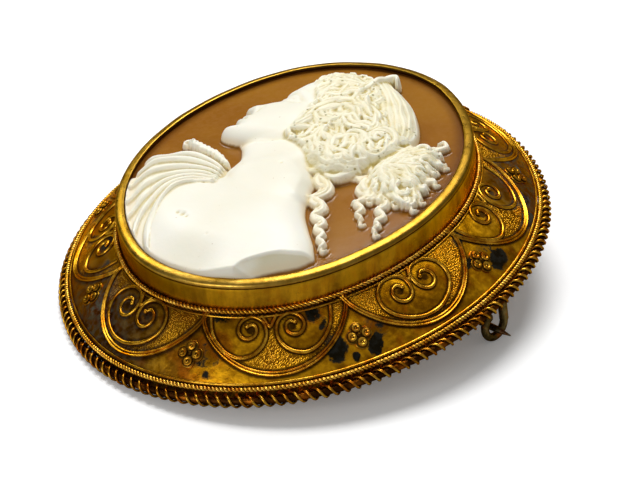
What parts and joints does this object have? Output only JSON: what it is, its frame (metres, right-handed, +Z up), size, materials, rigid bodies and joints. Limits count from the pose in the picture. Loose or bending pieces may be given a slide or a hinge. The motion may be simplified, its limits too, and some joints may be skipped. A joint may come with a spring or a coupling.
{
  "type": "cameo brooch",
  "caption": "Oval cameo brooch: a carved shell bust in a tall collar on a raised wirework border, with a hinged pin and a hook on the back.",
  "frame": {"origin": "on the surface the brooch lies on, below the middle of the coiled edge", "axes": "+Z up from that surface, +Y to the top of the cameo, +X to the wearer's left as seen from the front, with the brooch tilted about 7.6 degrees by its hook and hinge"},
  "size_m": [0.0476, 0.0558, 0.0167],
  "materials": {
    "border_gold": "antique gilding, worn and tarnished",
    "bezel_gold": "bright gilding on the lip, duller on the wall",
    "shell": "polished brown shell ground with a warm ivory layer carved in relief",
    "wire_gold": "gilded wire, dark in the hollows",
    "coil_gold": "reddish gilded wire",
    "rosette_gold": "bright gilded wire on tarnished plates",
    "dark_brass": "dark worn brass",
    "pin_metal": "dull olive-grey metal, smooth"
  },
  "bodies": {
    "frame": {"border": "border_gold", "bezel": "bezel_gold", "cameo": "shell", "collar_rope": "wire_gold", "rim_rope": "wire_gold", "rim_coil": "coil_gold", "scallops": "wire_gold", "scrolls": "wire_gold", "rosettes": "rosette_gold", "c_clasp": "dark_brass", "hinge": "dark_brass", "hinge_rivet": "pin_metal"},
    "pin": {"pin": "pin_metal"}
  },
  "joints": [
    {"name": "pin_swing", "type": "hinge", "parent": "frame", "child": "pin", "pos_m": [-0.01758, 0.01093, 0.00137], "axis": [0.3691, 0.9209, 0.1251], "range_deg": [0, 115]}
  ]
}
